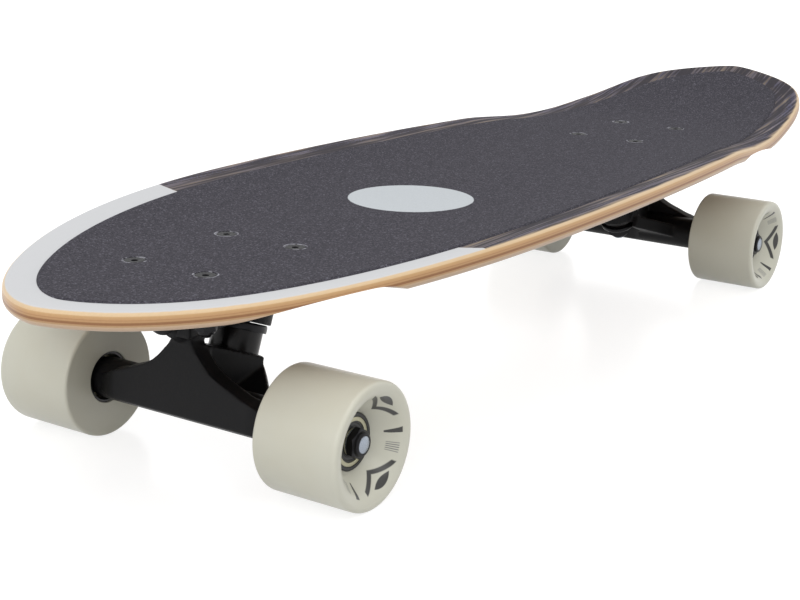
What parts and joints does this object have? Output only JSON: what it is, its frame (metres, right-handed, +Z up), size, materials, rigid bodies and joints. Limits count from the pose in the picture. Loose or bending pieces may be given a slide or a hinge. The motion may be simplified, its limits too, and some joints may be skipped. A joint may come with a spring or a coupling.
{
  "type": "cruiser skateboard",
  "caption": "Cruiser skateboard with a round-nosed kicktail deck, grip tape, two steering trucks and soft wheels that roll on bearings.",
  "frame": {"origin": "on the floor under the middle of the deck's length", "axes": "+X towards the nose, +Z up, +Y to the rider's left when facing the nose"},
  "size_m": [0.7294, 0.2196, 0.1226],
  "materials": {
    "maple": "clear-lacquered maple plies, stained dark round the top edge, with a white band at the nose",
    "grip": "coarse speckled abrasive sheet with one pale disc",
    "riser_rubber": "matte black",
    "black_casting": "cast, painted satin black",
    "black_polyurethane": "glossy black",
    "cream_polyurethane": null,
    "bearing_steel": "polished races with a black shield",
    "zinc_steel": "zinc plated",
    "dark_steel": "blackened"
  },
  "bodies": {
    "board": {"deck": "maple", "grip_tape": "grip", "front_riser_pad": "riser_rubber", "front_baseplate": "black_casting", "front_pivot_cup": "black_polyurethane", "front_kingpin": "zinc_steel", "front_kingpin_nut": "zinc_steel", "front_board_bushing": "black_polyurethane", "front_road_bushing": "black_polyurethane", "front_board_washer": "zinc_steel", "front_road_washer": "zinc_steel", "front_deck_bolt_1": "dark_steel", "front_deck_bolt_2": "dark_steel", "front_deck_bolt_3": "dark_steel", "front_deck_bolt_4": "dark_steel", "front_deck_nut_1": "zinc_steel", "front_deck_nut_2": "zinc_steel", "front_deck_nut_3": "zinc_steel", "front_deck_nut_4": "zinc_steel", "rear_riser_pad": "riser_rubber", "rear_baseplate": "black_casting", "rear_pivot_cup": "black_polyurethane", "rear_kingpin": "zinc_steel", "rear_kingpin_nut": "zinc_steel", "rear_board_bushing": "black_polyurethane", "rear_road_bushing": "black_polyurethane", "rear_board_washer": "zinc_steel", "rear_road_washer": "zinc_steel", "rear_deck_bolt_1": "dark_steel", "rear_deck_bolt_2": "dark_steel", "rear_deck_bolt_3": "dark_steel", "rear_deck_bolt_4": "dark_steel", "rear_deck_nut_1": "zinc_steel", "rear_deck_nut_2": "zinc_steel", "rear_deck_nut_3": "zinc_steel", "rear_deck_nut_4": "zinc_steel"},
    "front_hanger_unit": {"front_hanger": "black_casting", "front_axle": "zinc_steel", "front_left_axle_nut": "zinc_steel", "front_left_bearing_spacer": "zinc_steel", "front_right_axle_nut": "zinc_steel", "front_right_bearing_spacer": "zinc_steel"},
    "rear_hanger_unit": {"rear_hanger": "black_casting", "rear_axle": "zinc_steel", "rear_left_axle_nut": "zinc_steel", "rear_left_bearing_spacer": "zinc_steel", "rear_right_axle_nut": "zinc_steel", "rear_right_bearing_spacer": "zinc_steel"},
    "front_left_wheel_unit": {"front_left_wheel": "cream_polyurethane", "front_left_inner_bearing": "bearing_steel", "front_left_outer_bearing": "bearing_steel"},
    "front_right_wheel_unit": {"front_right_wheel": "cream_polyurethane", "front_right_inner_bearing": "bearing_steel", "front_right_outer_bearing": "bearing_steel"},
    "rear_left_wheel_unit": {"rear_left_wheel": "cream_polyurethane", "rear_left_inner_bearing": "bearing_steel", "rear_left_outer_bearing": "bearing_steel"},
    "rear_right_wheel_unit": {"rear_right_wheel": "cream_polyurethane", "rear_right_inner_bearing": "bearing_steel", "rear_right_outer_bearing": "bearing_steel"}
  },
  "joints": [
    {"name": "front_steer", "type": "hinge", "parent": "board", "child": "front_hanger_unit", "pos_m": [0.28465, 0, 0.0734], "axis": [0.8365, 0, 0.548], "range_deg": [-15, 15], "stiffness_Nm_per_rad": 70, "deforming": ["front_board_bushing", "front_road_bushing"]},
    {"name": "rear_steer", "type": "hinge", "parent": "board", "child": "rear_hanger_unit", "pos_m": [-0.21335, 0, 0.0734], "axis": [-0.8365, 0, 0.548], "range_deg": [-15, 15], "stiffness_Nm_per_rad": 70, "deforming": ["rear_board_bushing", "rear_road_bushing"]},
    {"name": "front_left_wheel_spin", "type": "hinge", "parent": "front_hanger_unit", "child": "front_left_wheel_unit", "pos_m": [0.26365, 0.07718, 0.029], "axis": [0, 1, 0], "continuous": true},
    {"name": "front_right_wheel_spin", "type": "hinge", "parent": "front_hanger_unit", "child": "front_right_wheel_unit", "pos_m": [0.26365, -0.07718, 0.029], "axis": [0, 1, 0], "continuous": true},
    {"name": "rear_left_wheel_spin", "type": "hinge", "parent": "rear_hanger_unit", "child": "rear_left_wheel_unit", "pos_m": [-0.19235, 0.07718, 0.029], "axis": [0, 1, 0], "continuous": true},
    {"name": "rear_right_wheel_spin", "type": "hinge", "parent": "rear_hanger_unit", "child": "rear_right_wheel_unit", "pos_m": [-0.19235, -0.07718, 0.029], "axis": [0, 1, 0], "continuous": true}
  ]
}
